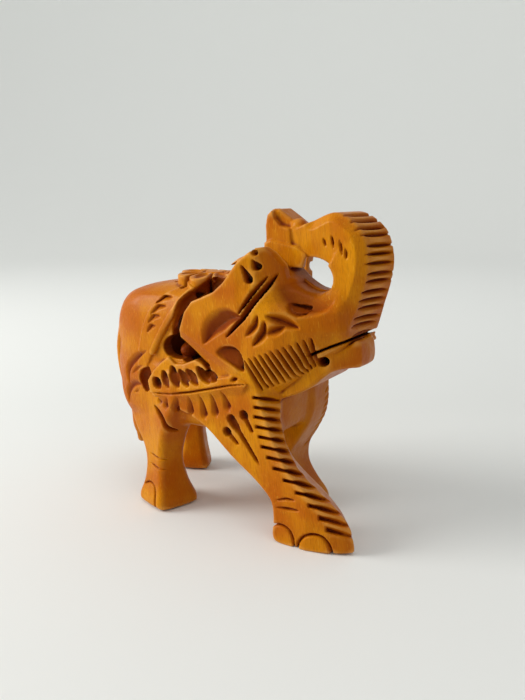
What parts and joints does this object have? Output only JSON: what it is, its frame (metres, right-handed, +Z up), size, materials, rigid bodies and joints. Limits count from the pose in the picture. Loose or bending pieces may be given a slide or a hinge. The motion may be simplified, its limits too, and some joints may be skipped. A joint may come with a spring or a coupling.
{
  "type": "carved wooden elephant figurine",
  "caption": "Small free-standing elephant carved from one block of wood, trunk curled back over the forehead, hollowed flanks with a calf inside.",
  "frame": {"origin": "on the ground, under the middle of the bounding box", "axes": "+X is the elephant's heading, +Y is its left side, +Z is up"},
  "size_m": [0.0739, 0.0324, 0.0744],
  "materials": {
    "honey_wood": "satin lacquer",
    "calf_wood": "satin lacquer"
  },
  "bodies": {
    "root": {"rump": "honey_wood", "shoulders": "honey_wood", "back": "honey_wood", "belly": "honey_wood", "head": "honey_wood", "trunk": "honey_wood", "lower_jaw": "honey_wood", "right_ear": "honey_wood", "left_ear": "honey_wood", "forehead_finial": "honey_wood", "right_foreleg": "honey_wood", "left_foreleg": "honey_wood", "right_hind_leg": "honey_wood", "left_hind_leg": "honey_wood", "tail": "honey_wood", "saddle": "honey_wood", "right_saddle_cloth": "honey_wood", "left_saddle_cloth": "honey_wood", "right_leaf": "honey_wood", "left_leaf": "honey_wood", "calf": "calf_wood"}
  },
  "joints": []
}
